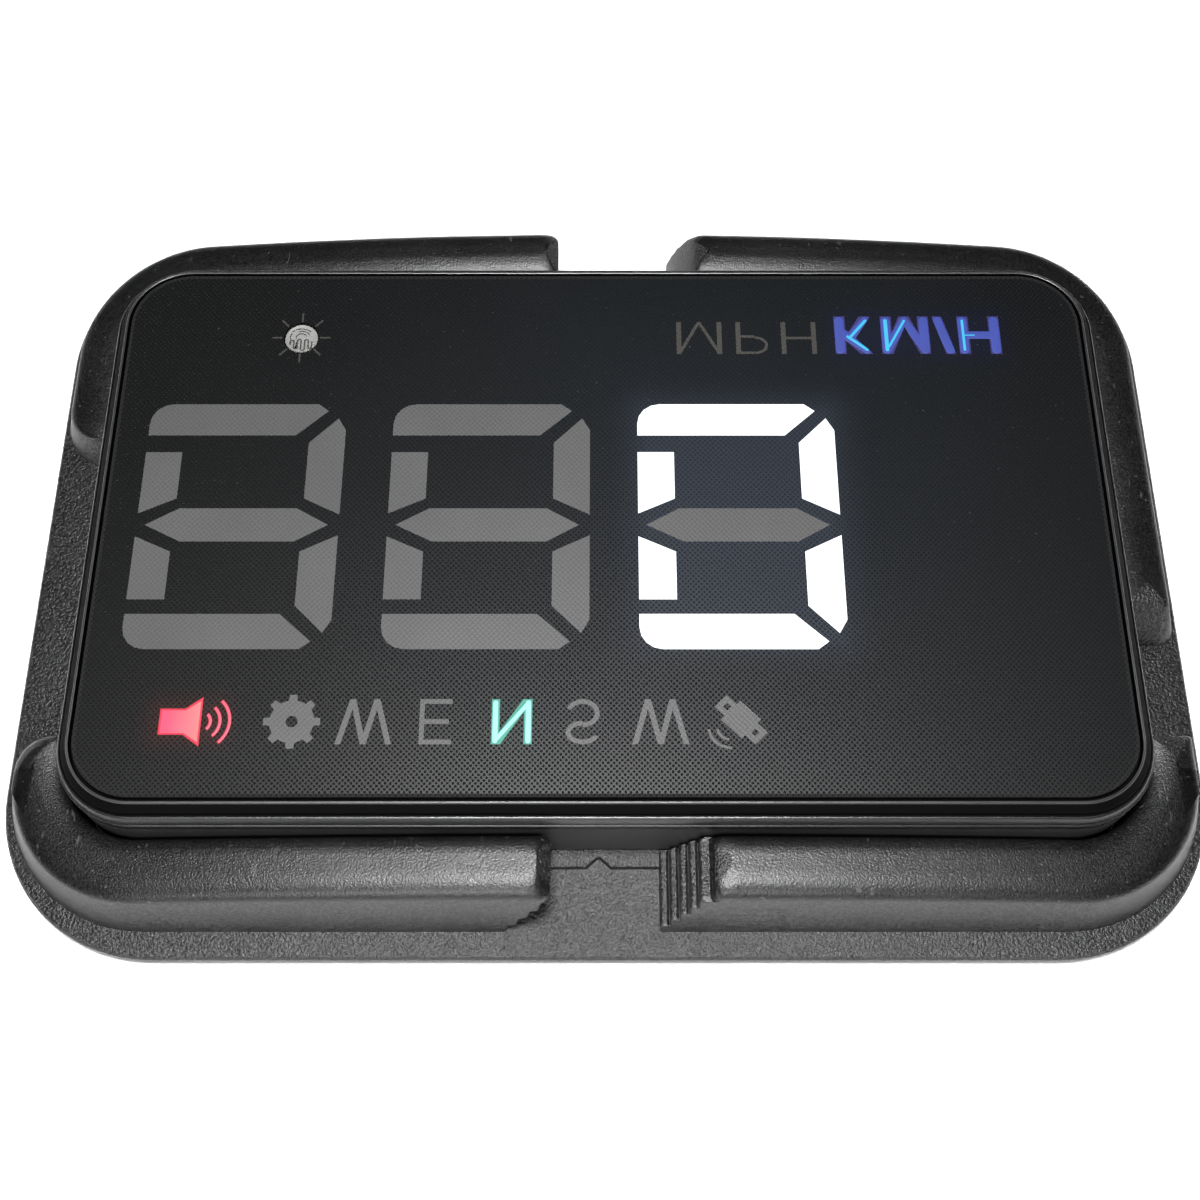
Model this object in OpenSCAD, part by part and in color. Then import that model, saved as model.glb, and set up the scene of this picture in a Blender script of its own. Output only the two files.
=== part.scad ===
// Head-up speed display for a car dashboard, lying in its moulded rubber dash tray.
// X runs to the right, Y towards the windscreen, Z up; the origin is under the middle of the tray.
// The marks on the lens are turned top to bottom, so that they read correctly in the windscreen.

/* [Tray] */
// Width of the rubber mat
mat_w = 178.4; // [177.4:0.2:184]
// Depth of the rubber mat
mat_d = 124; // [122:1:132]
// Corner radius of the mat
mat_r = 24.5; // [20:0.5:28]
// Thickness of the mat
mat_t = 2.4; // [2:0.1:2.4]
// Height of the walls over the mat, at the middle of the tray
wall_h = 11.8; // [11:0.1:13]
// How far the outer wall faces lean in over their height
wall_lean = 2.2; // [1:0.1:3]
// Radius of the arch that the front wall's top follows from side to side
front_arch = 900; // [800:50:2000]
// The same at the rear
rear_arch = 600; // [600:50:2000]
// Height of the seat under the display
seat_h = 1; // [0.8:0.1:1]

/* [Display] */
// Width of the case
case_w = 155.4; // [155.4:0.1:155.6]
// Depth of the case
case_d = 92.6; // [92.6:0.1:92.8]
// Corner radius of the case
case_r = 12; // [11.8:0.1:12.2]
// Height of the display, from its feet to its lens
unit_h = 15.9; // [15.9:0.1:16.5]
// Thickness of the lens
lens_t = 1.2; // [1:0.1:1.2]
// Width of the rim between the lens and the case side
rim_w = 3.2; // [3.2:0.05:3.3]

/* [Digits] */
// Width of a digit
digit_w = 30; // [28:0.5:30]
// Height of a digit
digit_h = 40.6; // [38:0.2:40.6]
// Distance from one digit to the next
digit_pitch = 37.2; // [36:0.1:37.2]
// Width of a digit's strokes
bar_t = 5.5; // [4.5:0.1:5.6]

/* [Controls] */
// How far the menu lever stands out of the case
lever_reach = 1.15; // [0.8:0.05:1.5]
// How far the power slider travels
slider_travel = 2; // [1.5:0.1:2]

/* [Hidden] */
$fn = 64;
past = 1;               // how far a cutter runs past the face it cuts

// Tray
flange_side = 1;        // mat showing outside the side walls
flange_front = 4;       // mat showing outside the front and rear walls
wall_r = 22;
cavity_gap = 0.35;      // between the case and the walls
seat_w = 159;
seat_d = 97.8;
notch = [-1, 3.5, 1.6]; // notch in the edge of the seat: x, width and depth
ramp_feet = [7.8, 9.2, 10.5, 11.8, 13.1]; // where the ridges of the ramp begin
ramp_head = 15;         // where the ramp meets the wall's rounded end
ridge_rise = 1.9;
slot_lip = [-7.7, 9];   // lip of the undercut wall end: x, and height over the mat
slot_undercut = 6.5;    // how far the undercut runs back under the lip
rear_slope = [[10.7, 0], [12.3, 5.6], [14.2, 9.6]]; // smooth ramp of the rear slot: x, height
rear_open = [-8.6, 12.4, 55.6]; // where the mat is cut away in the rear slot: x, x, y
left_gap = [-30.7, 19.6];
right_gap = [-30.7, -11.7];
gap_slope = 2;          // how far the ends of the side walls slope
right_ramp = 6;         // the same, at the rear end of the right gap

// Levels of the display
seat_z = mat_t + seat_h;
feet_z = seat_z + 0.2;
feet_proud = 0.5;
case_z = feet_z + feet_proud;
top_z = feet_z + unit_h;
rim_z = top_z - 4.9;
lens_z = top_z - lens_t;
lens_w = case_w - 2 * rim_w;
lens_d = case_d - 2 * rim_w;
lens_r = case_r - rim_w;
side_t = 1.8;
floor_z = case_z + 1.6;
board_t = 1.6;
board_z = floor_z + 2.2;
deck_z = board_z + board_t;       // top face of the board
block_top = lens_z - 0.3;         // top face of the reflector block
sheet_t = 0.2;
post = [68.5, 37];                // corner posts
post_r = 3.5;
screw_r = 1.1;
board_fixings = [[-62, 31], [-2, 31], [71, 16], [38.55, -37]];

// Marks on the lens
digit_x = -69.5;
digit_y = -21.2;
units_y = 28.5;
units_h = 5.9;
lit_y = 28.5;                     // the lit unit stands a little taller
lit_h = 7;
row_y = -35.5;
row_h = 6.7;
sensor = [-47.6, 31.5];
sensor_r = 2.55;
antenna = [-20, 32];

// Inside the case
bar_centres = [[14, 37.9], [27.4, 29], [27.2, 11.3], [13.5, 2.7], [2.7, 12.8], [2.7, 27.6], [14.8, 19.9]];
icon_x = [-57.6, -43.9, -33.9, -23.6, -13.2, -3.2, 7.7, 18.6]; // lamps of the bottom row
battery_box = [[40.6, -32.6, deck_z + 0.3], [69.4, 9, deck_z + 6.3]];
cell_z = block_top - 0.8;         // underside of the solar cell
lead_r = 0.55;
lead_bend = 1.5;
connector_y = battery_box[1][1] + 2 + lead_bend;
connector_top = deck_z + 2.6;

// Controls in the side walls
usb_y = 6;
slide_y = -18;
slide_z = deck_z + 1;
lever_y = -22.2;
lever_z = deck_z + 1.4;
pivot_x = 72.6;
pin_r = 0.5;

// ---------- helpers ----------

// A block with rounded corners, centred in x and y, from z0 to z1
module slab(w, d, r, z0, z1) {
    translate([0, 0, z0]) linear_extrude(z1 - z0) union() {
        square([w - 2 * r, d], center = true);
        square([w, d - 2 * r], center = true);
        for (x = [-1, 1], y = [-1, 1])
            translate([x * (w / 2 - r), y * (d / 2 - r)]) circle(r);
    }
}

// A cuboid given by its lowest and highest corners
module block(a, b) {
    translate(a) cube(b - a);
}

// Sweeps a profile round a rounded rectangle; profile x points outward, y is height
module sweep_round(w, d, r) {
    for (k = [0:3]) {
        across = k % 2 == 0 ? w : d;
        along = k % 2 == 0 ? d : w;
        rotate(90 * k) {
            translate([across / 2, 0, 0])
                rotate([90, 0, 0]) linear_extrude(along - 2 * r, center = true) children();
            translate([across / 2 - r, along / 2 - r, 0])
                rotate_extrude(angle = 90) translate([r, 0]) children();
        }
    }
}

// A straight stroke whose ends are cut level, or square when it lies level
module stroke(a, b, t) {
    run = b - a;
    half = abs(run[1]) < 0.01 ? [0, t / 2] : [t / 2 * norm(run) / abs(run[1]), 0];
    polygon([a - half, a + half, b + half, b - half]);
}

// An elliptical arc stroke
module arc_stroke(c, rx, ry, a0, a1, t, steps = 12) {
    angles = [for (i = [0:steps]) a0 + (a1 - a0) * i / steps];
    polygon(concat(
        [for (a = angles) c + [(rx + t / 2) * cos(a), (ry + t / 2) * sin(a)]],
        [for (i = [steps:-1:0]) c + [(rx - t / 2) * cos(angles[i]), (ry - t / 2) * sin(angles[i])]]
    ));
}

// Straight strokes of a letter, each [x0, y0, x1, y1] in a unit box
function strokes(g) =
    g == "M" ? [[0, 0, 0, 1], [1, 0, 1, 1], [0, 1, 0.5, 0], [0.5, 0, 1, 1]] :
    g == "W" ? [[0, 1, 0.26, 0], [0.26, 0, 0.5, 1], [0.5, 1, 0.74, 0], [0.74, 0, 1, 1]] :
    g == "P" ? [[0, 0, 0, 1], [0, 1, 0.6, 1], [0, 0.45, 0.6, 0.45]] :
    g == "H" ? [[0, 0, 0, 1], [1, 0, 1, 1], [0, 0.5, 1, 0.5]] :
    g == "K" ? [[0, 0, 0, 1], [0, 0.36, 1, 1], [0.36, 0.6, 1, 0]] :
    g == "/" ? [[0, 0, 1, 1]] :
    g == "E" ? [[0, 0, 0, 1], [0, 0, 1, 0], [0, 0.5, 0.9, 0.5], [0, 1, 1, 1]] :
    g == "N" ? [[0, 0, 0, 1], [1, 0, 1, 1], [0, 1, 1, 0]] : [];

// One letter of width w and height h, turned top to bottom; x and y are its low corner.
// Its upright strokes are t wide and the others thin.
module letter(g, x, y, w, h, t, thin = 0) {
    other = thin > 0 ? thin : t;
    translate([x, y + h]) mirror([0, 1]) {
        for (s = strokes(g)) {
            level = s[1] == s[3];
            lift = level ? other / 2 : 0;
            high = h - 2 * lift;
            wide = w - t;
            stroke([t / 2 + s[0] * wide, lift + s[1] * high],
                   [t / 2 + s[2] * wide, lift + s[3] * high], s[0] == s[2] ? t : other);
        }
        if (g == "P")
            arc_stroke([0.6 * w, 0.725 * h], 0.4 * w - other / 2, 0.275 * h - other / 2, -90, 90, other);
        if (g == "S") {
            arc_stroke([w / 2, 0.74 * h], w / 2 - t / 2, 0.26 * h - t / 2, 20, 270, t, 16);
            arc_stroke([w / 2, 0.26 * h + t / 2], w / 2 - t / 2, 0.26 * h, -160, 90, t, 16);
        }
    }
}

// Raises a flat mark to the thickness of the lens
module inlay(z0 = lens_z, z1 = top_z) {
    translate([0, 0, z0]) linear_extrude(z1 - z0) children();
}

// The seven bars of a digit, from its low left corner
module bar_outline(n) {
    w = digit_w;
    h = digit_h;
    t = bar_t;
    mid = h * 0.49;
    cut = t * 0.8;                 // run of the mitred right ends
    round_r = t * 0.62;            // rounded outer corners on the left
    clear = t * 0.42;              // gap between neighbouring bars
    if (n == 0 || n == 3) {        // top and bottom
        y = n == 0 ? h : 0;
        s = n == 0 ? -1 : 1;
        polygon(concat(
            [[w - t - clear * 0.9, y + s * t], [0, y + s * t]],
            [for (i = [0:4]) [round_r - round_r * cos(22.5 * i), y + s * round_r * (1 - sin(22.5 * i))]],
            [[w - 4.4, y], [w - 2.8, y + s * 1.2]]
        ));
    }
    if (n == 6)                    // middle
        polygon([[1.2, mid], [t + 0.6, mid + t / 2], [w - t - 0.9, mid + t / 2],
                 [w - 1.6, mid], [w - t - 0.9, mid - t / 2], [t + 1.2, mid - t / 2]]);
    if (n == 4 || n == 5) {        // left, lower and upper
        s = n == 5 ? 1 : -1;
        far = n == 5 ? h - t - 2.9 : t + 2.3;
        polygon([[0, far], [t, far], [t, mid + s * cut], [0, mid + s * 1.9]]);
    }
    if (n == 1 || n == 2) {        // right, upper and lower
        s = n == 1 ? 1 : -1;
        end = n == 1 ? h : 0;
        polygon([[w, mid + s * 1.7], [w - t, mid + s * cut], [w - t, end - s * (t + 1.3)],
                 [w - 1.2, end - s * 2.5], [w, end - s * 4.6]]);
    }
}

module digit(place, bars) {
    translate([digit_x + place * digit_pitch, digit_y]) for (n = bars) bar_outline(n);
}

// A gear wheel with eight teeth
module gear_outline(r) {
    difference() {
        union() {
            circle(0.79 * r);
            for (k = [0:7])
                rotate(45 * k)
                    polygon([[-0.19 * r, 0.5 * r], [0.19 * r, 0.5 * r], [0.13 * r, r], [-0.13 * r, r]]);
        }
        circle(0.21 * r);
    }
}

module sound_outline() {
    box_w = 3.5;
    box_h = 3.9;
    horn = 2.4;
    polygon([[0, -box_h / 2], [box_w, -box_h / 2], [box_w + horn, -row_h * 0.55],
             [box_w + horn, row_h * 0.55], [box_w, box_h / 2], [0, box_h / 2]]);
    for (k = [0:2])
        arc_stroke([box_w + horn - 0.2, 0], 1.5 + 1.35 * k, 1.5 + 1.35 * k, -48, 48, 0.5);
}

module satellite_outline() {
    rotate(45) square(4, center = true);
    for (s = [-1, 1])
        translate(s * [-1.9, 1.9]) difference() {
            rotate(45) square(2.5, center = true);
            rotate(45) square(0.8, center = true);
        }
    for (k = [0:1])
        arc_stroke([-1.4, -1], 2 + 1.2 * k, 2 + 1.2 * k, 192 - 4 * k, 258 + 12 * k, 0.4);
}

module sun_outline() {
    for (k = [0:7]) rotate(45 * k) translate([2.95, -0.14]) square([1.6, 0.28]);
}

module mph_outline() {
    letter("M", 11.2, units_y, 7.1, units_h, 0.75, 0.5);
    letter("P", 20.5, units_y, 5, units_h, 0.75, 0.45);
    letter("H", 27.6, units_y, 5.5, units_h, 0.75, 0.45);
}

module kmh_outline() {
    letter("K", 36, lit_y, 5.8, lit_h, 1.75, 1.5);
    letter("M", 43.3, lit_y, 7.6, lit_h, 1.75, 1.5);
    letter("/", 51.5, lit_y, 3.3, lit_h, 1.5);
    letter("H", 55.4, lit_y, 6.6, lit_h, 1.75, 1.4);
}

module compass_outline() {
    letter("W", -37.8, row_y, 7.9, row_h, 0.8);
    letter("E", -26.1, row_y, 4.9, row_h, 0.7);
    letter("S", -5.6, row_y, 4.8, row_h, 0.7);
    letter("W", 3.7, row_y, 8, row_h, 0.8);
}

module north_outline() letter("N", -16, row_y, 5.7, row_h, 1.15);
module settings_outline() translate([-44, row_y + row_h / 2]) gear_outline(4);
module sound_place() translate([-62.6, row_y + row_h / 2]) sound_outline();
module satellite_place() translate([19, row_y + row_h / 2 + 0.3]) satellite_outline();

module all_marks() {
    for (place = [0:2]) digit(place, [0:6]);
    mph_outline();
    kmh_outline();
    compass_outline();
    north_outline();
    settings_outline();
    sound_place();
    satellite_place();
    translate(sensor) sun_outline();
}

// ---------- tray ----------

// Section of a wall: x is measured outward from the foot, y up from the table
module wall_section() {
    top = mat_t + wall_h;
    polygon([[0, mat_t - past], [0, mat_t], [-wall_lean, top - 1.9], [-wall_lean - 0.9, top - 1],
             [-wall_lean - 2.6, top - 0.3], [-wall_lean - 4.6, top], [-wall_lean - 7, top - 0.15],
             [-13.5, top - 0.8], [-13.5, mat_t - past]]);
}

// Slanted slot, seen from the front, that lets a telephone lean across the tray.
// The ramp on its right is ridged in the front wall and smooth in the rear wall.
module slot_section(ridged) {
    lip = slot_lip;
    foot = lip[0] - slot_undercut;
    high = wall_h + 5;
    last = len(ramp_feet) - 1;
    polygon(concat(
        [for (i = [0:3]) each [[foot + slot_undercut * i / 4, lip[1] * i / 4],
                               [foot + slot_undercut * (i + 0.3) / 4, lip[1] * (i + 0.9) / 4]]],
        [lip, lip + [0, 1.2], lip + [-0.7, 2.2], lip + [-2, wall_h - lip[1]], [lip[0] - 2, high]],
        [[ramp_head + 2.4, high], [ramp_head + 2.4, wall_h], [ramp_head + 0.8, wall_h - 0.3]],
        ridged ? [[ramp_head + 0.1, wall_h - 0.9], [ramp_head, ridge_rise * (last + 1)]] : [],
        ridged ? [for (i = [last:-1:0]) each [[ramp_feet[i], ridge_rise * (i + 1)],
                                              [ramp_feet[i], ridge_rise * i]]]
               : [for (i = [2:-1:0]) rear_slope[i]]
    ));
}

// Cuts a side wall away between two ends that slope
module side_gap(side, span, rear_slope) {
    high = wall_h + 5;
    translate([side * mat_w / 2, 0, mat_t]) rotate([90, 0, 90])
        linear_extrude(2 * (mat_w - case_w) / 2, center = true)
            polygon([[span[0] + gap_slope, 0], [span[1] - rear_slope / 2, 0],
                     [span[1] + rear_slope / 2, high], [span[0] - gap_slope, high]]);
}

module dash_tray() color("#2c2d2f") {
    difference() {
        slab(mat_w, mat_d, mat_r, 0, mat_t);
        block([rear_open[0], rear_open[2], -past], [rear_open[1], mat_d, mat_t + past]);
    }
    difference() {
        slab(seat_w, seat_d, case_r + 2, mat_t - past, seat_z);
        for (s = [-1, 1])
            translate([notch[0], s * seat_d / 2, 0]) linear_extrude(2 * mat_t + seat_z)
                polygon([[-notch[1] / 2, s * past], [-notch[1] / 2, 0], [0, -s * notch[2]],
                         [notch[1] / 2, 0], [notch[1] / 2, s * past]]);
        block([-mat_w, -mat_d, -past], [mat_w, mat_d, mat_t - past / 2]);
    }
    difference() {
        intersection() {
            sweep_round(mat_w - 2 * flange_side, mat_d - 2 * flange_front, wall_r) wall_section();
            for (front = [true, false]) {
                r = front ? front_arch : rear_arch;
                translate([0, front ? 0 : mat_d, mat_t + wall_h - r])
                    rotate([90, 0, 0]) cylinder(r = r, h = mat_d, $fn = 256);
            }
        }
        slab(case_w + 2 * cavity_gap, case_d + 2 * cavity_gap, case_r + cavity_gap,
             mat_t, mat_t + 2 * wall_h);
        for (y = [0, mat_d])
            translate([0, y, mat_t]) rotate([90, 0, 0]) linear_extrude(mat_d) slot_section(y == 0);
        side_gap(-1, left_gap, gap_slope);
        side_gap(1, right_gap, right_ramp);
    }
}

// ---------- case ----------

module at_posts() {
    for (x = [-1, 1], y = [-1, 1]) translate([x * post[0], y * post[1], 0]) children();
}

module lower_case() color("#141517") difference() {
    union() {
        difference() {
            slab(case_w, case_d, case_r, case_z, rim_z);
            slab(case_w - 2 * side_t, case_d - 2 * side_t, case_r - side_t, floor_z, rim_z + past);
        }
        at_posts() translate([0, 0, case_z]) cylinder(r = post_r, h = rim_z - case_z);
        for (p = board_fixings)
            translate([p[0], p[1], case_z]) cylinder(r = 2.3, h = board_z - case_z);
    }
    at_posts() translate([0, 0, case_z - past]) {
        cylinder(r = screw_r + 0.15, h = unit_h);
        cylinder(r = 2.2, h = 1.8 + past);
    }
    for (p = board_fixings)
        translate([p[0], p[1], floor_z]) cylinder(r = 0.82, h = board_t + unit_h);
    for (x = [-1, 1], y = [-1, 1])
        translate([x * 56, y * 30, case_z - past]) cylinder(r = 4.05, h = 0.6 + past);
    // USB opening
    translate([-case_w / 2, usb_y, deck_z + 1.3]) rotate([90, 0, 90])
        linear_extrude(3 * side_t, center = true) square([8, 3], center = true);
    // power slider slot
    block([-case_w / 2 - past, slide_y - slider_travel - 1.4, slide_z - 0.8],
          [-case_w / 2 + 2 * side_t, slide_y + 1.4, slide_z + 0.8]);
    // menu lever slot
    block([case_w / 2 - 2 * side_t, lever_y - 2.4, lever_z - 1.3],
          [case_w / 2 + past, lever_y + 2.4, lever_z + 1.3]);
}

module rim_section() {
    polygon([[-1.6, -3.2], [-1.6, -lens_t - 0.15], [0.5, -lens_t - 0.15], [0.52, -0.1], [0.7, 0],
             [0.95, -0.25], [1.9, -1.2], [1.97, -2], [2.22, -2], [2.3, -1.85], [2.5, -1.9],
             [2.9, -2.8], [3.02, -3.5], [rim_w, -3.75], [rim_w, rim_z - top_z], [1.2, rim_z - top_z],
             [0, -3.2]]);
}

module top_bezel() color("#0c0c0e") {
    translate([0, 0, top_z]) sweep_round(lens_w, lens_d, lens_r) rim_section();
    at_posts() difference() {
        translate([0, 0, rim_z]) cylinder(r = post_r + 0.1, h = lens_z - 0.2 - rim_z);
        translate([0, 0, rim_z - past]) cylinder(r = screw_r + 0.02, h = 2.6 + past);
    }
}

module lens_gasket() color("#1b1b1b") difference() {
    slab(lens_w, lens_d, lens_r, lens_z - 0.15, lens_z);
    slab(lens_w - 3, lens_d - 3, lens_r - 1.5, lens_z - past, lens_z + past);
}

module lens_panel() color("#101114") difference() {
    slab(lens_w, lens_d, lens_r, lens_z, top_z);
    inlay(lens_z - past, top_z + past) {
        all_marks();
        translate(sensor) circle(sensor_r + 0.2);
    }
}

// ---------- marks ----------

module digit_hundreds() color("#6a6a6b") inlay() digit(0, [0:6]);
module digit_tens() color("#6a6a6b") inlay() digit(1, [0:6]);
module digit_units_lit() color("#ffffff") inlay() digit(2, [0:5]);
module digit_units_bar() color("#6a6a6b") inlay() digit(2, [6]);
module unit_mark_mph() color("#5c5a55") inlay() mph_outline();
module unit_mark_kmh() color("#2f5fd8") inlay() kmh_outline();
module compass_marks() color("#6a6a6b") inlay() compass_outline();
module compass_mark_north() color("#5fe0e8") inlay() north_outline();
module icon_sound() color("#ff4a5c") inlay() sound_place();
module icon_settings() color("#8a8a8b") inlay() settings_outline();
module icon_satellite() color("#7a7a7b") inlay() satellite_place();
module sun_mark() color("#4a4a4b") inlay() translate(sensor) sun_outline();

// ---------- light sensor and light box ----------

module light_sensor() color("#d9d9d6") translate(sensor) {
    translate([0, 0, top_z - 2.3]) cylinder(r = sensor_r, h = 2);
    for (x = [-1.7, 1.7])
        translate([x, 0, deck_z]) cylinder(r = 0.25, h = top_z - 2.3 - deck_z);
}

module sensor_sleeve() color("#151515") translate([sensor[0], sensor[1], deck_z]) difference() {
    cylinder(r = 3.7, h = block_top - deck_z);
    translate([0, 0, -past]) cylinder(r = sensor_r + 0.1, h = unit_h);
}

module block_plan() difference() {
    union() {
        translate([-71.5, -38.8]) square([108.1, 61.6]);
        translate([8, 20]) square([56, 18]);
    }
    at_posts() circle(post_r + 0.6);
}

module diffuser_sheet() color("#f2f2ee") inlay(block_top, block_top + sheet_t) block_plan();

module reflector_block() color("#ecece8") difference() {
    inlay(deck_z, block_top) block_plan();
    inlay(deck_z - past, block_top + past) {
        for (place = [0:2]) digit(place, [0:6]);
        translate([9.4, units_y - 0.8]) square([24, units_h + 1.6]);
        translate([34.6, units_y - 0.8]) square([28.6, lit_h + 1.6]);
        for (x = icon_x) translate([x - 4.4, row_y - 0.5]) square([8.8, row_h + 1]);
    }
}

module segment_leds() color("#f3e9b0")
    for (place = [0:2], c = bar_centres)
        translate([digit_x + place * digit_pitch + c[0], digit_y + c[1], deck_z]) {
            translate([-1.4, -1.4, 0]) cube([2.8, 2.8, 0.7]);
            translate([0, 0, 0.7]) cylinder(r = 1.1, h = 0.2);
        }

module icon_leds() color("#efe6c8") {
    for (x = icon_x) translate([x - 0.8, row_y + row_h / 2 - 0.4, deck_z]) cube([1.6, 0.8, 0.6]);
    for (x = [16, 27, 42, 55]) translate([x, units_y + units_h / 2 - 0.4, deck_z]) cube([1.6, 0.8, 0.6]);
}

// ---------- electronics ----------

module main_board() color("#1f5c3a") difference() {
    slab(146, 84, 2, board_z, deck_z);
    at_posts() translate([0, 0, board_z - past]) cylinder(r = post_r + 0.5, h = 3 * board_t);
    for (p = board_fixings) translate([p[0], p[1], board_z - past]) cylinder(r = 1.1, h = 3 * board_t);
}

module gps_antenna() color("#c9b58a") translate([antenna[0], antenna[1], deck_z]) {
    translate([-7.5, -7.5, 0]) cube([15, 15, 4]);
    translate([-6, -6, 4]) cube([12, 12, 0.1]);
    translate([0.8, 0.8, 4.1]) cylinder(r = 0.9, h = 0.4);
}

module hung(x, y, w, d, h) {
    translate([x - w / 2, y - d / 2, board_z - h]) cube([w, d, h]);
}

module gps_receiver() color("#b9bcc0") hung(-20, 8, 12.2, 16, 2);
module microcontroller() color("#1a1a1c") hung(12, 6, 10, 10, 1.2);
module compass_chip() color("#1a1a1c") hung(-46, 10, 3, 3, 0.9);
module charger_chip() color("#1a1a1c") hung(48, -6, 4, 4, 1);
module power_inductor() color("#3a3a3c") hung(56, -6, 5, 5, 2);
module capacitors() color("#b98b53")
    for (p = [[2, 2], [2, 6], [2, 10], [44, 1], [48, 1], [52, 1], [-36, 3], [-36, 7], [22, 4], [22, 8]])
        hung(p[0], p[1], 1.6, 0.8, 0.8);
module backup_cell() color("#c9cbcd")
    translate([-20, -14, board_z - 2]) cylinder(r = 3.4, h = 2);
module buzzer() color("#17171a") translate([69, 26.6, deck_z]) difference() {
    cylinder(r = 4.2, h = 3.4);
    translate([0, 0, 2.4]) cylinder(r = 0.6, h = 2);
}

module battery() color("#a9adb3") block(battery_box[0], battery_box[1]);
module battery_tape() color("#e8e4d8") block([45, -30, deck_z], [65, 4, deck_z + 0.3]);

module battery_leads() color("#a8202a") for (x = [49, 51.5]) {
    z = deck_z + 5;
    translate([x, battery_box[1][1], z]) rotate([-90, 0, 0]) cylinder(r = lead_r, h = 2);
    translate([x, connector_y - lead_bend, z - lead_bend]) rotate([90, 0, 90])
        rotate_extrude(angle = 90) translate([lead_bend, 0]) circle(lead_r);
    translate([x, connector_y, connector_top]) cylinder(r = lead_r, h = z - lead_bend - connector_top);
}
module lead_connector() color("#ece7da")
    block([46.8, connector_y - 2, deck_z], [53.7, connector_y + 2.6, connector_top]);

module solar_cell() color("#141a33") block([39.6, -32.6, cell_z], [72.4, 19.4, cell_z + 0.8]);
module solar_foam() color("#2a2a2a")
    for (y = [-30, 1]) block([45, y, battery_box[1][2]], [65, y + 5, cell_z]);
module solar_leads() color("#a8202a") for (x = [58, 62])
    translate([x, 17.5, deck_z]) cylinder(r = lead_r, h = cell_z - deck_z);

module usb_socket() color("#b6b8ba")
    translate([-case_w / 2 + 0.3, usb_y, deck_z + 1.3]) rotate([90, 0, 90]) {
        difference() {
            linear_extrude(5) polygon([[-3.75, 1.3], [3.75, 1.3], [3.75, 0.1], [2.9, -1.3], [-2.9, -1.3], [-3.75, 0.1]]);
            translate([0, 0, -past]) linear_extrude(4.6 + past)
                polygon([[-3.5, 1.05], [3.5, 1.05], [3.5, 0.2], [2.75, -1.05], [-2.75, -1.05], [-3.5, 0.2]]);
        }
        translate([-2.2, 0.2, 1]) cube([4.4, 0.6, 4]);
    }

// ---------- controls ----------

module power_switch() color("#2a2b2d") difference() {
    block([-75.6, slide_y - slider_travel - 3.4, deck_z], [-72.8, slide_y + 3.4, deck_z + 2]);
    block([-75.6 - past, slide_y - slider_travel - 1.2, slide_z - 0.6],
          [-73.6, slide_y + 1.2, slide_z + 0.6]);
}
module power_slider() color("#1b1c1e")
    block([-78.2, slide_y - 1, slide_z - 0.45], [-74.6, slide_y + 1, slide_z + 0.45]);

module menu_switch() color("#2a2b2d") difference() {
    block([69.9, lever_y - 3.6, deck_z], [75, lever_y + 3.6, deck_z + 2.8]);
    block([70.5, lever_y - 2.9, deck_z + 0.4], [75 + past, lever_y + 2.9, deck_z + 2.4]);
}
module menu_plunger() color("#c9cbcd") {
    block([71, lever_y - 1.4, deck_z + 0.45], [73.3, lever_y + 1.4, deck_z + 0.65]);
    block([71, lever_y - 1.4, deck_z + 0.65], [71.4, lever_y + 1.4, deck_z + 2.2]);
    translate([pivot_x, lever_y, deck_z + 0.65]) cylinder(r = pin_r, h = 1.55);
}
module menu_lever() color("#e9e7e0") difference() {
    union() {
        translate([pivot_x, lever_y, deck_z + 0.75]) cylinder(r = 1.1, h = 1.4);
        block([pivot_x, lever_y - 0.75, deck_z + 0.75],
              [case_w / 2 + lever_reach - 0.75, lever_y + 0.75, deck_z + 2.15]);
        translate([case_w / 2 + lever_reach - 0.75, lever_y, deck_z + 0.75]) cylinder(r = 0.75, h = 1.4);
    }
    translate([pivot_x, lever_y, deck_z]) cylinder(r = pin_r + 0.05, h = 4);
}

// ---------- fixings and feet ----------

module case_screws() color("#8f9296") at_posts() difference() {
    union() {
        translate([0, 0, case_z + 0.3]) cylinder(r = 2, h = 1.5);
        translate([0, 0, case_z + 1.8]) cylinder(r = screw_r, h = rim_z + 2.4 - case_z - 1.8);
    }
    for (a = [0, 90])
        translate([0, 0, case_z]) rotate(a) translate([-1.2, -0.25, 0]) cube([2.4, 0.5, 0.9]);
}

module board_screws() color("#8f9296") for (p = board_fixings) translate([p[0], p[1], 0]) difference() {
    union() {
        translate([0, 0, deck_z]) cylinder(r = 1.75, h = 1.2);
        translate([0, 0, floor_z + 0.3]) cylinder(r = 0.8, h = deck_z - floor_z - 0.3);
    }
    for (a = [0, 90])
        translate([0, 0, deck_z + 0.6]) rotate(a) translate([-1.1, -0.22, 0]) cube([2.2, 0.44, 1]);
}

module rubber_feet() color("#222224") for (x = [-1, 1], y = [-1, 1])
    translate([x * 56, y * 30, feet_z]) cylinder(r = 4, h = feet_proud + 0.6);

// ---------- nodes ----------

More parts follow.
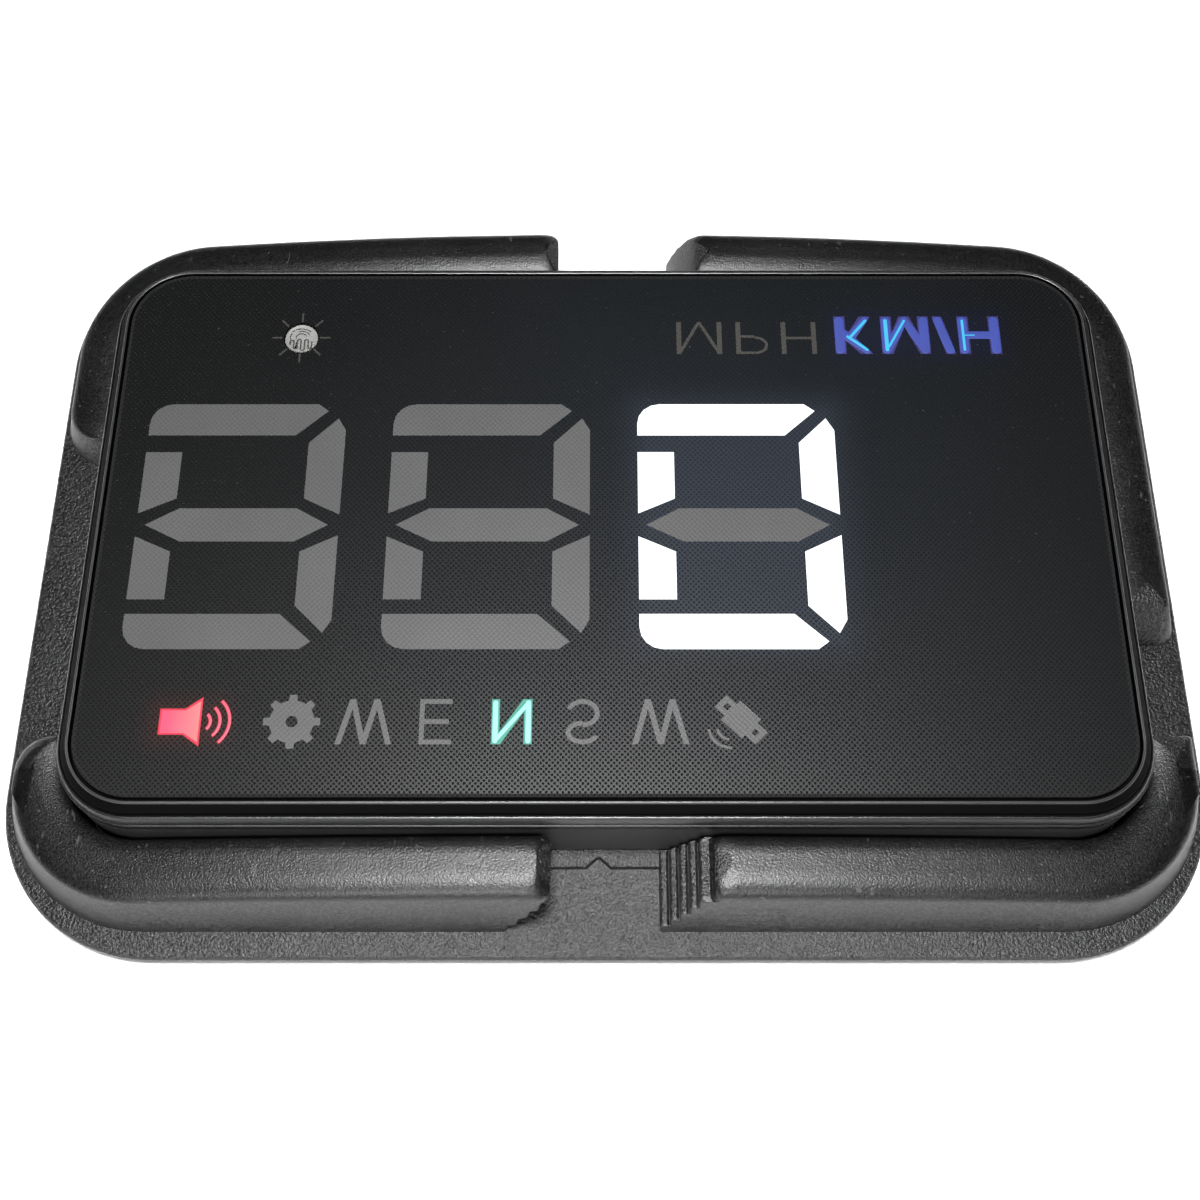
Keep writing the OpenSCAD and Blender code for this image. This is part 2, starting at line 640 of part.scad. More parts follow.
dash_tray();
lower_case();
top_bezel();
lens_gasket();
lens_panel();
digit_hundreds();
digit_tens();
digit_units_lit();
digit_units_bar();
unit_mark_mph();
unit_mark_kmh();
compass_marks();
compass_mark_north();
icon_sound();
icon_settings();
icon_satellite();
sun_mark();
light_sensor();
sensor_sleeve();
diffuser_sheet();
reflector_block();
segment_leds();
icon_leds();
main_board();
gps_antenna();
gps_receiver();
microcontroller();
compass_chip();
charger_chip();
power_inductor();
capacitors();
backup_cell();
buzzer();
battery();
battery_tape();
battery_leads();
lead_connector();
solar_cell();
solar_foam();
solar_leads();
usb_socket();
power_switch();
power_slider();
menu_switch();
menu_plunger();
menu_lever();
case_screws();
board_screws();
rubber_feet();
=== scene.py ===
import bpy
import bmesh
import math
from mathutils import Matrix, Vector


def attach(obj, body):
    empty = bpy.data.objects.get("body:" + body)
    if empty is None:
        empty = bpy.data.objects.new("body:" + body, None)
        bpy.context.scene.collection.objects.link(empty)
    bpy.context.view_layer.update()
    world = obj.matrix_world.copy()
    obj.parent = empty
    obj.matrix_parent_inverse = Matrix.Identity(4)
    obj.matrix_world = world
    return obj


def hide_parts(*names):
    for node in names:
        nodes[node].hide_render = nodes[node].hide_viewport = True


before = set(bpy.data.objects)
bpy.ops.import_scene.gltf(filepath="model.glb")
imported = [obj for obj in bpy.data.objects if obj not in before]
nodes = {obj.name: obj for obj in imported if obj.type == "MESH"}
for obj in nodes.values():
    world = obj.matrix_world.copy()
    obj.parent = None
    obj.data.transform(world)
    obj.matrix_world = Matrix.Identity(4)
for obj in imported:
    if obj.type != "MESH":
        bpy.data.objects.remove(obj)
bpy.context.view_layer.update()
MM = 0.001

# Sizes in millimetres, the same as the CAD source
MAT_W, MAT_D, MAT_R, MAT_T = 178.4, 124, 24.5, 2.4
REAR_OPEN = (-8.6, 12.4, 55.6)
WALL_W, WALL_D, WALL_R, WALL_H = 176.4, 116, 22, 11.8
CAVITY_W, CAVITY_D, CAVITY_R = 156.1, 93.3, 12.35
SEAT_W, SEAT_D, SEAT_R, SEAT_Z = 159, 97.8, 14, 3.4
NOTCH_X, NOTCH_W, NOTCH_D = -1, 3.5, 1.6
LENS_W, LENS_D, LENS_R, TOP_Z, LENS_T = 149, 86.2, 8.8, 19.5, 1.2
RIM_Z = 14.6
DIGIT_X, DIGIT_Y, DIGIT_PITCH = -69.5, -21.2, 37.2
SENSOR = (-47.6, 31.5)
POSTS = [(68.5, 37), (-68.5, 37), (68.5, -37), (-68.5, -37)]


# ---------- mesh helpers ----------

def make(name, verts, faces, materials, body, replaces=(), kinds=None, sharp=35):
    """A mesh object from points in millimetres, riding on a body."""
    mesh = bpy.data.meshes.new(name)
    mesh.from_pydata([Vector(v) * MM for v in verts], [], faces)
    for m in materials:
        mesh.materials.append(m)
    if kinds:
        for p, k in zip(mesh.polygons, kinds):
            p.material_index = k
    bm = bmesh.new()
    bm.from_mesh(mesh)
    bmesh.ops.remove_doubles(bm, verts=bm.verts, dist=2e-6)
    bmesh.ops.dissolve_degenerate(bm, edges=bm.edges, dist=1e-6)
    bmesh.ops.recalc_face_normals(bm, faces=bm.faces)
    limit = math.radians(sharp)
    for f in bm.faces:
        f.smooth = True
    for e in bm.edges:
        e.smooth = len(e.link_faces) == 2 and e.calc_face_angle(0) < limit
    bm.to_mesh(mesh)
    bm.free()
    obj = bpy.data.objects.new(name, mesh)
    bpy.context.scene.collection.objects.link(obj)
    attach(obj, body)
    if replaces:
        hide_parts(*replaces)


def loft(rings, closed=False):
    """Points and faces through closed rings that all have the same count."""
    n = len(rings[0])
    verts = [p for ring in rings for p in ring]
    faces = []
    last = len(rings) if closed else len(rings) - 1
    for k in range(last):
        a, b = k * n, (k + 1) % len(rings) * n
        for i in range(n):
            j = (i + 1) % n
            faces.append((a + i, a + j, b + j, b + i))
    if not closed:
        faces.append(tuple(reversed(range(n))))
        faces.append(tuple(range((len(rings) - 1) * n, len(rings) * n)))
    return verts, faces


def arc(cx, cy, r, angles, z):
    """Points on a circle at these angles, in degrees."""
    return [(cx + r * math.cos(math.radians(a)), cy + r * math.sin(math.radians(a)), z) for a in angles]


def rounded(w, d, r, z, steps=16):
    """A rounded rectangle as a ring of points at height z."""
    ring = []
    for k, (sx, sy) in enumerate([(1, 1), (-1, 1), (-1, -1), (1, -1)]):
        for i in range(steps + 1):
            a = math.radians(90 * (k + i / steps))
            ring.append((sx * (w / 2 - r) + r * math.cos(a), sy * (d / 2 - r) + r * math.sin(a), z))
    return ring


def lerp(a, b, t):
    return a + (b - a) * t


def table(points, x):
    """Linear interpolation in a list of (x, y)."""
    if x <= points[0][0]:
        return points[0][1]
    for (x0, y0), (x1, y1) in zip(points, points[1:]):
        if x <= x1:
            return lerp(y0, y1, (x - x0) / (x1 - x0)) if x1 > x0 else y1
    return points[-1][1]


# ---------- materials ----------

class Nodes:
    """A small builder for a node material."""

    def __init__(self, name):
        self.material = bpy.data.materials.new(name)
        self.material.use_nodes = True
        self.tree = self.material.node_tree
        self.shader = self.tree.nodes["Principled BSDF"]
        self.coords = self.add("ShaderNodeTexCoord").outputs["Object"]

    def add(self, kind, inputs=(), **settings):
        node = self.tree.nodes.new(kind)
        for key, value in settings.items():
            setattr(node, key, value)
        for key, value in dict(inputs).items():
            self.put(node.inputs[key], value)
        return node

    def put(self, socket, value):
        if isinstance(value, bpy.types.NodeSocket):
            self.tree.links.new(value, socket)
        else:
            socket.default_value = value

    def set(self, **values):
        for key, value in values.items():
            self.put(self.shader.inputs[key.replace("_", " ")], value)

    def math(self, operation, a, b=0.0):
        node = self.add("ShaderNodeMath", operation=operation)
        self.put(node.inputs[0], a)
        self.put(node.inputs[1], b)
        return node.outputs[0]

    def noise(self, size, detail=2.0, rough=0.5, stretch=(1, 1, 1)):
        """Noise whose features are about size millimetres across."""
        place = self.add("ShaderNodeMapping", {"Vector": self.coords, "Scale": stretch})
        return self.add("ShaderNodeTexNoise", {
            "Vector": place.outputs[0], "Scale": 1 / (size * MM), "Detail": detail, "Roughness": rough,
        }).outputs["Fac"]

    def ramp(self, value, stops):
        node = self.add("ShaderNodeValToRGB", {"Fac": value})
        ramp = node.color_ramp
        while len(ramp.elements) < len(stops):
            ramp.elements.new(0.5)
        for element, (at, colour) in zip(ramp.elements, stops):
            element.position = at
            element.color = (*colour, 1) if hasattr(colour, "__len__") else (colour,) * 3 + (1,)
        return node.outputs[0]

    def mix(self, fac, a, b, blend="MIX"):
        node = self.add("ShaderNodeMix", data_type="RGBA", blend_type=blend)
        self.put(node.inputs[0], fac)
        self.put(node.inputs[6], a if isinstance(a, bpy.types.NodeSocket) else (*a, 1))
        self.put(node.inputs[7], b if isinstance(b, bpy.types.NodeSocket) else (*b, 1))
        return node.outputs[2]

    def span(self, value, low, high, a=0.0, b=1.0):
        return self.add("ShaderNodeMapRange", {
            "Value": value, "From Min": low, "From Max": high, "To Min": a, "To Max": b,
        }).outputs[0]

    def bump(self, *layers):
        """Each layer is (height, distance in millimetres, strength)."""
        normal = None
        for height, distance, strength in layers:
            node = self.add("ShaderNodeBump", {
                "Height": height, "Distance": distance * MM, "Strength": strength,
            })
            if normal is not None:
                self.put(node.inputs["Normal"], normal)
            normal = node.outputs[0]
        self.put(self.shader.inputs["Normal"], normal)


def rubber(name, base, rough, grain, size, depth, scuffs=0.0, level=0.5):
    """Moulded rubber. grain, size and depth are those of its spark-eroded finish, and scuffs is how
    strongly it is marked."""
    m = Nodes(name)
    cloud = m.noise(11, 3, 0.6)
    fine = m.noise(size, 2, 0.6)
    speck = m.noise(0.7, 1, 0.4)
    broad = m.span(cloud, 0.3, 0.7, base * 0.85, base * 1.2)
    light = m.math("MULTIPLY", broad, m.span(fine, 0.38, 0.62, 0.2, 1.9))
    blue = m.math("MULTIPLY", light, 1.05)
    colour = m.add("ShaderNodeCombineColor", {"Red": light, "Green": light, "Blue": blue})
    dust = m.ramp(speck, [(0.0, 0), (0.73, 0), (0.77, 0.6), (1.0, 0.7)])
    if scuffs:
        scratch = m.noise(0.9, 2, 0.5, (1, 0.22, 1))
        patch = m.span(m.noise(7, 2, 0.5), 0.52, 0.6)
        marks = m.math("MULTIPLY", m.ramp(scratch, [(0.0, 0), (0.66, 0), (0.70, 1), (1.0, 1)]), patch)
        dust = m.math("MAXIMUM", dust, m.math("MULTIPLY", marks, scuffs))
    m.set(Base_Color=m.mix(dust, colour.outputs[0], (0.075, 0.075, 0.074)))
    even = m.span(cloud, 0.3, 0.7, rough - 0.03, rough + 0.03)
    uneven = m.span(fine, 0.3, 0.7, -0.05, 0.05)
    m.set(Roughness=m.math("ADD", even, uneven), Specular_IOR_Level=level)
    m.bump((cloud, 0.5, 0.15), (fine, depth, grain))
    return m.material


def plastic(name, base, rough=0.35, grain=0.12, size=0.25, level=0.5):
    """Plastic or the like, with a fine grain."""
    m = Nodes(name)
    cloud = m.noise(14, 3, 0.55)
    fine = m.noise(size, 2, 0.6)
    m.set(Base_Color=m.mix(m.span(cloud, 0.3, 0.7), [c * 0.85 for c in base], [c * 1.15 for c in base]))
    m.set(Roughness=m.span(cloud, 0.3, 0.7, rough - 0.04, rough + 0.05), Specular_IOR_Level=level)
    m.bump((fine, 0.05, grain))
    return m.material


def metal(name, base, rough=0.35):
    """Bare metal with a drawn grain."""
    m = Nodes(name)
    fine = m.noise(0.6, 3, 0.6, (1, 6, 1))
    m.set(Base_Color=m.mix(m.span(fine, 0.3, 0.7), [c * 0.8 for c in base], base))
    m.set(Metallic=1.0, Roughness=m.span(fine, 0.3, 0.7, rough - 0.08, rough + 0.1))
    m.bump((fine, 0.02, 0.2))
    return m.material


def weave(m):
    """The lens film's fine staggered dots, 0 between the dots and 1 in them, and the place on the lens."""
    pitch_x, pitch_y = 0.78 * MM, 0.84 * MM
    split = m.add("ShaderNodeSeparateXYZ", {"Vector": m.coords})
    wobble = m.span(m.noise(1.6, 1, 0.5), 0.3, 0.7, -0.05 * MM, 0.05 * MM)
    x = m.math("COSINE", m.math("MULTIPLY", m.math("ADD", split.outputs[0], wobble), 2 * math.pi / pitch_x))
    y = m.math("COSINE", m.math("MULTIPLY", m.math("ADD", split.outputs[1], wobble), 2 * math.pi / pitch_y))
    return m.math("MULTIPLY", x, y), split.outputs[0], split.outputs[1]


def outside(m, value, centre, half):
    """How far a place is past centre +- half, never below 0."""
    away = m.math("ABSOLUTE", m.math("SUBTRACT", value, centre * MM))
    return m.math("MAXIMUM", m.math("SUBTRACT", away, half * MM), 0.0)


def length(m, a, b):
    """Length of the vector (a, b)."""
    return m.math("SQRT", m.math("ADD", m.math("MULTIPLY", a, a), m.math("MULTIPLY", b, b)))


# Light that spreads in the lens round a lit mark: centre, half size, reach, power of its fall, colour
LIT_DIGIT_X = DIGIT_X + 2 * DIGIT_PITCH + 15
HALOS = [
    ((LIT_DIGIT_X, DIGIT_Y + 20.3), (13.5, 18.5), 8, 2.2, (0.019, 0.024, 0.036)),
    ((LIT_DIGIT_X, DIGIT_Y + 30), (13.5, 12), 65, 1.5, (0.0026, 0.0054, 0.0092)),
    ((49, 32), (11.5, 2.4), 6, 2.0, (0.0, 0.0008, 0.014)),
    ((-58.5, -32.2), (4.2, 2.0), 5, 2.4, (0.030, 0.004, 0.001)),
    ((-13.2, -32.2), (2, 2.6), 4, 2.0, (0.0, 0.006, 0.004)),
]


def lens_film(name):
    """The dark woven film under the lens, with the light that spreads in it and a black printed edge."""
    m = Nodes(name)
    dots, x, y = weave(m)
    spots = m.span(dots, 0.2, 0.6)
    cloud = m.noise(22, 3, 0.55)
    speck = m.noise(0.5, 1, 0.4)
    glow = None
    for (cx, cy), (hx, hy), reach, fall, colour in HALOS:
        away = length(m, outside(m, x, cx, hx), outside(m, y, cy, hy))
        near = m.math("POWER", m.span(away, 0.0, reach * MM, 1.0, 0.0), fall)
        layer = m.mix(near, (0, 0, 0), colour)
        glow = layer if glow is None else m.mix(1.0, glow, layer, "ADD")
    qx, qy = LENS_W / 2 - LENS_R, LENS_D / 2 - LENS_R
    edge = length(m, outside(m, x, 0, qx), outside(m, y, 0, qy))
    border = m.span(edge, (LENS_R - 0.55) * MM, (LENS_R - 0.45) * MM)
    dark = m.mix(m.span(cloud, 0.3, 0.7), (0.0009, 0.0011, 0.0012), (0.0017, 0.0019, 0.0021))
    dark = m.mix(m.ramp(speck, [(0.0, 0), (0.76, 0), (0.79, 0.5), (1.0, 0.5)]), dark, (0.06, 0.06, 0.06))
    cloth = m.mix(spots, dark, (0.0003, 0.0003, 0.0004))
    m.set(Base_Color=m.mix(border, cloth, (0.002, 0.002, 0.002)))
    m.set(Roughness=m.math("MAXIMUM", m.span(spots, 0.0, 1.0, 0.385, 1.0), m.math("MULTIPLY", border, 0.8)))
    m.set(Specular_IOR_Level=0.33)
    dimmed = m.mix(m.math("MULTIPLY", spots, 0.5), glow, (0, 0, 0))
    m.set(Emission_Color=m.mix(border, dimmed, (0, 0, 0)), Emission_Strength=1.0)
    m.bump((m.math("MULTIPLY", spots, -1.0), 0.14, 1.0))
    return m.material


def printed(name, base, rough=0.5, depth=0.3, level=0.35):
    """A mark that isn't lit, seen through the film's weave."""
    m = Nodes(name)
    dots, _, _ = weave(m)
    cloud = m.noise(12, 2, 0.5)
    grain = m.noise(0.4, 2, 0.5)
    colour = m.mix(m.span(cloud, 0.3, 0.7), [c * 0.93 for c in base], [c * 1.07 for c in base])
    m.set(Base_Color=m.mix(m.math("MULTIPLY", m.span(dots, 0.0, 0.9), depth), colour, (0.01, 0.01, 0.01)))
    m.set(Roughness=m.span(grain, 0.3, 0.7, rough - 0.05, rough + 0.05), Specular_IOR_Level=level)
    m.bump((dots, 0.02, 0.4), (grain, 0.02, 0.3))
    return m.material


def glowing(name, colour, strength=1.0, other=None, along=(0, 1)):
    """A lit mark. Its colour may run to another one between two places along X, in millimetres."""
    m = Nodes(name)
    dots, x, _ = weave(m)
    cloud = m.noise(4, 2, 0.5)
    fade = m.span(x, along[0] * MM, along[1] * MM)
    tint = m.mix(fade, colour, other or colour)
    power = m.math("MULTIPLY", m.span(cloud, 0.3, 0.7, 0.92, 1.08), m.span(dots, 0.2, 1.0, 1.0, 0.94))
    shade = m.mix(m.math("MULTIPLY", power, 0.5), (0, 0, 0), tint)
    m.set(Base_Color=m.mix(0.9, shade, (0.02, 0.02, 0.02)), Roughness=0.5, Specular_IOR_Level=0.2)
    m.set(Emission_Color=shade, Emission_Strength=2 * strength)
    return m.material


rubber_grain = rubber("rubber_grain", base=0.009, rough=0.42, grain=1.0, size=0.42, depth=0.26)
rubber_smooth = rubber("rubber_smooth", base=0.024, rough=0.50, grain=0.3, size=0.4, depth=0.08, scuffs=0.3)
rubber_top = rubber("rubber_top", base=0.004, rough=0.38, grain=0.8, size=0.3, depth=0.09, scuffs=0.5)
case_black = plastic("case_black", (0.020, 0.020, 0.021), rough=0.42, grain=0.10)
bezel_black = plastic("bezel_black", (0.0008, 0.0008, 0.0009), rough=0.6, grain=0.15, size=0.4, level=0.04)
# the edge round the lens: the bezel's own glossy black, painted lighter as a painted highlight line along
# the edge
bezel_edge_painted_highlight = plastic("bezel_edge_painted_highlight", (0.014, 0.014, 0.015), rough=0.36, grain=0.3, size=0.4, level=0.7)
bezel_band = plastic("bezel_band", (0.003, 0.003, 0.0035), rough=0.33, grain=0.9, size=0.35, level=0.6)
film = lens_film("lens_film")

finishes = {
    "case_plastic": case_black,
    "bezel_plastic": bezel_black,
    "lens_plastic": film,
    "mark_dark": printed("mark_dark", (0.057, 0.057, 0.057)),
    "mark_faint": printed("mark_faint", (0.030, 0.028, 0.025)),
    "mark_white": glowing("mark_white", (0.93, 0.97, 1.0), 1.5),
    "mark_blue": glowing("mark_blue", (0.028, 0.056, 0.38)),
    "mark_cyan": glowing("mark_cyan", (0.06, 0.42, 0.30)),
    "mark_red": glowing("mark_red", (0.80, 0.012, 0.05)),
    "sensor_face": plastic("sensor_face", (0.19, 0.19, 0.185), 0.4, grain=1.0, size=0.3),
    "black_plastic": plastic("black_plastic", (0.008, 0.008, 0.009), 0.42),
    "white_plastic": plastic("white_plastic", (0.80, 0.79, 0.75), 0.4),
    "board": plastic("board", (0.012, 0.085, 0.035), 0.35),
    "chip": plastic("chip", (0.012, 0.012, 0.013), 0.5),
    "bare_metal": metal("bare_metal", (0.66, 0.66, 0.67), 0.3),
    "led": plastic("led", (0.75, 0.68, 0.35), 0.4),
    "ceramic_part": plastic("ceramic_part", (0.52, 0.42, 0.25), 0.5),
    "cell_pouch": metal("cell_pouch", (0.50, 0.52, 0.55), 0.4),
    "lead": plastic("lead", (0.35, 0.01, 0.015), 0.4),
    "foam": plastic("foam", (0.03, 0.03, 0.03), 0.9, 0.6, 0.5),
    "tape": plastic("tape", (0.78, 0.74, 0.62), 0.6),
    "silicon": plastic("silicon", (0.006, 0.009, 0.035), 0.2),
    "feet_rubber": plastic("feet_rubber", (0.02, 0.02, 0.021), 0.75, 0.4, 0.4),
    "tray_rubber": rubber_grain,
}
for obj in nodes.values():
    slot = obj.data.materials[0].name.split(".")[0]
    obj.data.materials[0] = finishes[slot]


# ---------- tray ----------

# Section of a wall, by height: how far the outer face has come in, and how far the inner edge has gone
# out, which is more on the dished walls at the sides and the rear
OUTER = [(-1, 0), (0, 0), (9.9, 2.2), (10.4, 2.4), (10.9, 2.75), (11.3, 3.25), (11.6, 4.0), (11.8, 5.2)]
INNER = [(-1, 0), (10.0, 0), (10.6, 0.15), (11.1, 0.5), (11.5, 1.1), (11.8, 2.0)]
DISHED = [(-1, 0), (6.5, 0), (8.6, 0.25), (9.9, 0.8), (10.6, 1.5), (11.1, 2.3), (11.5, 3.3), (11.8, 4.6)]
# heights of the points on the shoulder, where the section is round
SHOULDER = [9.9, 10.15, 10.4, 10.65, 10.9, 11.1, 11.3, 11.45, 11.6, 11.7, 11.8]
# where each ridge of the ramp starts
RAMP_FEET = [7.8, 9.2, 10.5, 11.8, 13.1]


def ridged_end():
    """Ridged ramp: (height, distance from the middle)."""
    rise, head = 1.9, 15.05
    end = [(-1, RAMP_FEET[0]), (0, RAMP_FEET[0])]
    for k, x in enumerate(RAMP_FEET):
        low, high = k * rise, (k + 1) * rise
        after = RAMP_FEET[k + 1] if k < 4 else head - 0.1
        end += [(low - 0.45 if k else low, x), (high - 0.55, x), (high - 0.25, x + 0.08),
                (high - 0.06, x + 0.28), (high, x + 0.5), (high - 0.04, after - 0.42),
                (high - 0.2, after - 0.22), (high - 0.45, after - 0.08)]
    end += [(9.2, head - 0.05), (SHOULDER[0], head)]
    for z in SHOULDER[1:]:
        end.append((z, head + 0.1 * (z - 9.9) + 2.3 * max(0.0, (z - 11.0) / 0.8) ** 2))
    return end


def undercut_end():
    """Toothed undercut below a lip with a crisp bevel over it."""
    foot, lip, top = 14.2, 7.7, 9.0
    end = [(-1, foot), (0, foot)]
    for i in range(4):
        z0, x0 = top * i / 4, foot - (foot - lip) * i / 4
        z1, x1 = top * (i + 0.86) / 4, foot - (foot - lip) * (i + 0.3) / 4
        end += [(z0, x0), (z1, x1)]
    end += [(top, lip + 0.35), (top + 0.12, lip + 0.08), (top + 0.35, lip)]
    return end + [(z, lip + 1.9 * max(0.0, (z - 10.15) / 1.65)) for z in SHOULDER]


def smooth_end():
    """Smooth ramp of the rear slot."""
    path = [(0, 10.7), (3, 11.4), (5.6, 12.3), (7.8, 13.3), (9.6, 14.2), (10.6, 14.9), (11.3, 15.7),
            (11.8, 17.2)]
    levels = [-1, 0, 1.5, 3, 4.3, 5.6, 6.7, 7.8, 8.8] + SHOULDER
    return [(z, table(path, z)) for z in levels]


def corner_cut(d, r):
    """How far a corner rounded to r has come in at distance d from the end."""
    return 0.0 if d >= r else r - math.sqrt(max(0.0, r * r - (r - d) ** 2))


def wall(sx, sy, gap, end, slot_round, gap_run, gap_round, arch, upright):
    """One L-shaped wall, made in the first quadrant and mirrored into its own. gap is where it ends on
    the side, end its profile at the slot, gap_run how far its side end slopes, gap_round the radius of
    that end's outer corner, arch the radius its top follows, and upright how much less it leans in."""
    ox, oy = WALL_W / 2 - WALL_R, WALL_D / 2 - WALL_R
    ix, iy = CAVITY_W / 2 - CAVITY_R, CAVITY_D / 2 - CAVITY_R
    thick = (WALL_W - CAVITY_W) / 2
    # stations along the wall: its end at the telephone slot, the long straight run, the corner, the
    # short straight run and its end at the gap in the tray's side
    near = [1 - math.cos(math.radians(a)) for a in (0, 10, 20, 30, 40, 50, 60, 75, 90)]
    stations = [("slot", t) for t in near] + [("long", t / 10) for t in range(0, 11)]
    stations += [("corner", t / 28) for t in range(1, 28)]
    stations += [("short", t / 6) for t in range(0, 7)] + [("gap", t) for t in reversed(near)]

    def point(station, z, o, x_end, r, share=0.0):
        """The point at height z, share of the way from the outer face to the inner one."""
        kind, t = station
        rise = max(0.0, z) / WALL_H
        y_end = gap + gap_run * rise ** 1.3 + 1.15 * max(0.0, o - 2.2)
        y_start = y_end + 8.2
        dish = 1.0 if sy > 0 or kind in ("short", "gap") else t if kind == "corner" else 0.0
        i = lerp(table(INNER, z), table(DISHED, z), dish)
        if kind == "slot":
            d = t * r
            x, cut = x_end + d, corner_cut(d, r)
            a, b = (x, WALL_D / 2 - o - cut), (x, CAVITY_D / 2 + i + cut * 0.6)
        elif kind == "long":
            past_end = x_end + r + 0.01 if t == 0 else max(x_end + r, 21.0)
            a, b = (lerp(past_end, ox, t), WALL_D / 2 - o), (lerp(past_end, ix, t), CAVITY_D / 2 + i)
        elif kind == "corner":
            c, s = math.sin(t * math.pi / 2), math.cos(t * math.pi / 2)
            a = (ox + (WALL_R - o) * c, oy + (WALL_R - o) * s)
            b = (ix + (CAVITY_R + i) * c, iy + (CAVITY_R + i) * s)
        elif kind == "short":
            a, b = (WALL_W / 2 - o, lerp(oy, y_start, t)), (CAVITY_W / 2 + i, lerp(iy, y_start, t))
        else:
            gr = min(max(gap_round - o, 0.5), thick - o - i - 0.2)
            d = t * gr
            cut = corner_cut(d, gr)
            a, b = (WALL_W / 2 - o - cut, y_end + d), (CAVITY_W / 2 + i + 0.08 * cut, y_end + d)
        x, y = lerp(a[0], b[0], share), lerp(a[1], b[1], share)
        drop = 1 - x * x / (2 * arch) / WALL_H
        return (sx * x, sy * y, MAT_T + z * drop if z > 0 else MAT_T + z)

    outline = [(z, table(OUTER, z) - upright * max(0.0, z) / WALL_H, x, slot_round(z)) for z, x in end]
    count = len(outline)
    across = (0.25, 0.5, 0.75)
    n = 2 * count + len(across)
    verts, faces, kinds = [], [], []
    for st in stations:
        for row in outline:
            verts.append(point(st, *row))
        for share in across:
            verts.append(point(st, *outline[-1], share))
        for row in reversed(outline):
            verts.append(point(st, *row, 1.0))
    face_top = next(k for k, row in enumerate(outline) if row[0] >= SHOULDER[0])
    for s in range(len(stations) - 1):
        a, b = s * n, (s + 1) * n
        for j in range(n):
            k = (j + 1) % n
            faces.append((a + j, a + k, b + k, b + j))
            kinds.append(1 if j < face_top else 2)
    for base in (0, (len(stations) - 1) * n):
        for j in range(count - 1):
            faces.append((base + j, base + j + 1, base + n - 2 - j, base + n - 1 - j))
            kinds.append(0)
        faces.append(tuple(base + j for j in range(count - 1, n - count + 1)))
        kinds.append(2)
    return verts, faces, kinds


def add_part(parts, verts, faces, kinds):
    """Add a closed form to parts, which holds points, faces and each face's material number."""
    at = len(parts[0])
    parts[0].extend(verts)
    parts[1].extend(tuple(i + at for i in f) for f in faces)
    parts[2].extend(kinds if hasattr(kinds, "__len__") else [kinds] * len(faces))


def mat_part():
    """The mat, with its rear edge cut away in the slot."""
    profile = [(1.2, 0.0), (0.5, 0.0), (0.15, 0.12), (0.0, 0.45), (0.0, 1.55), (0.10, 1.95), (0.42, 2.3),
               (0.8, MAT_T)]
    steps = 24
    rings = []
    for a, z in profile:
        ring = rounded(MAT_W - 2 * a, MAT_D - 2 * a, MAT_R - a, z, steps)
        low, high, depth = REAR_OPEN[0] - a, REAR_OPEN[1] + a, REAR_OPEN[2] - a
        r, rear = 0.9, MAT_D / 2 - a
        corners = [(high + r, rear - r, 90, 180), (high - r, depth + r, 0, -90),
                   (low + r, depth + r, -90, -180), (low - r, rear - r, 0, 90)]
        cut = []
        for cx, cy, start, stop in corners:
            cut += arc(cx, cy, r, [lerp(start, stop, k / 4) for k in range(5)], z)
        rings.append(ring[:steps + 1] + cut + ring[steps + 1:])
    return loft(rings)


def seat_part():
    """The raised seat, with a small notch in the middle of its front and rear edges."""
    steps = 12

    def outline(inset, z):
        w, d, r = SEAT_W - 2 * inset, SEAT_D - 2 * inset, SEAT_R - inset
        ring = rounded(w, d, r, z, steps)
        half, depth = NOTCH_W / 2 + 0.75 * inset, NOTCH_D + 0.35 * inset
        cuts = []
        for side in (1, -1):
            cuts.append([(NOTCH_X + side * t * half, side * (d / 2 - depth * (1 - abs(t))), z)
                         for t in (1, 0.12, -0.12, -1)])
        rear, front = steps + 1, 3 * (steps + 1)
        return ring[:rear] + cuts[0] + ring[rear:front] + cuts[1] + ring[front:]

    rings = [outline(0.0, MAT_T - 0.6), outline(0.0, MAT_T + 0.1), outline(0.06, SEAT_Z - 0.4),
             outline(0.2, SEAT_Z - 0.12), outline(0.5, SEAT_Z)]
    return loft(rings)


def lip_round(z):
    """Radius of an undercut end's corners, by height."""
    return table([(0, 0.35), (8.6, 0.5), (9.2, 1.6), (11.8, 2.0)], z)


def ramp_round(z):
    """Radius of a ramp's corners, by height."""
    return table([(0, 0.35), (9.0, 0.4), (9.9, 1.2), (11.8, 1.8)], z)


# where the walls end at the side gaps, the slope and the corner radius of those ends, and the tops' arch
FRONT_GAP, REAR_LEFT_GAP, REAR_RIGHT_GAP = 28.9, 17.8, -13.7
STEEP, LONG = 2.2, 5.6
ROUND, SQUARE = 7.6, 2.6
FRONT_ARCH, REAR_ARCH, REAR_LEAN = 900, 600, 0.8

parts = ([], [], [])
add_part(parts, *mat_part(), 0)
add_part(parts, *seat_part(), 0)
add_part(parts, *wall(-1, -1, FRONT_GAP, undercut_end(), lip_round, STEEP, ROUND, FRONT_ARCH, 0.0))
add_part(parts, *wall(1, -1, FRONT_GAP, ridged_end(), ramp_round, STEEP, SQUARE, FRONT_ARCH, 0.0))
add_part(parts, *wall(-1, 1, REAR_LEFT_GAP, undercut_end(), lip_round, STEEP, ROUND, REAR_ARCH, REAR_LEAN))
add_part(parts, *wall(1, 1, REAR_RIGHT_GAP, smooth_end(), ramp_round, LONG, SQUARE, REAR_ARCH, REAR_LEAN))
make("tray_moulding", parts[0], parts[1], [rubber_grain, rubber_smooth, rubber_top], "tray",
     ("dash_tray",), parts[2], sharp=28)


# ---------- bezel ----------

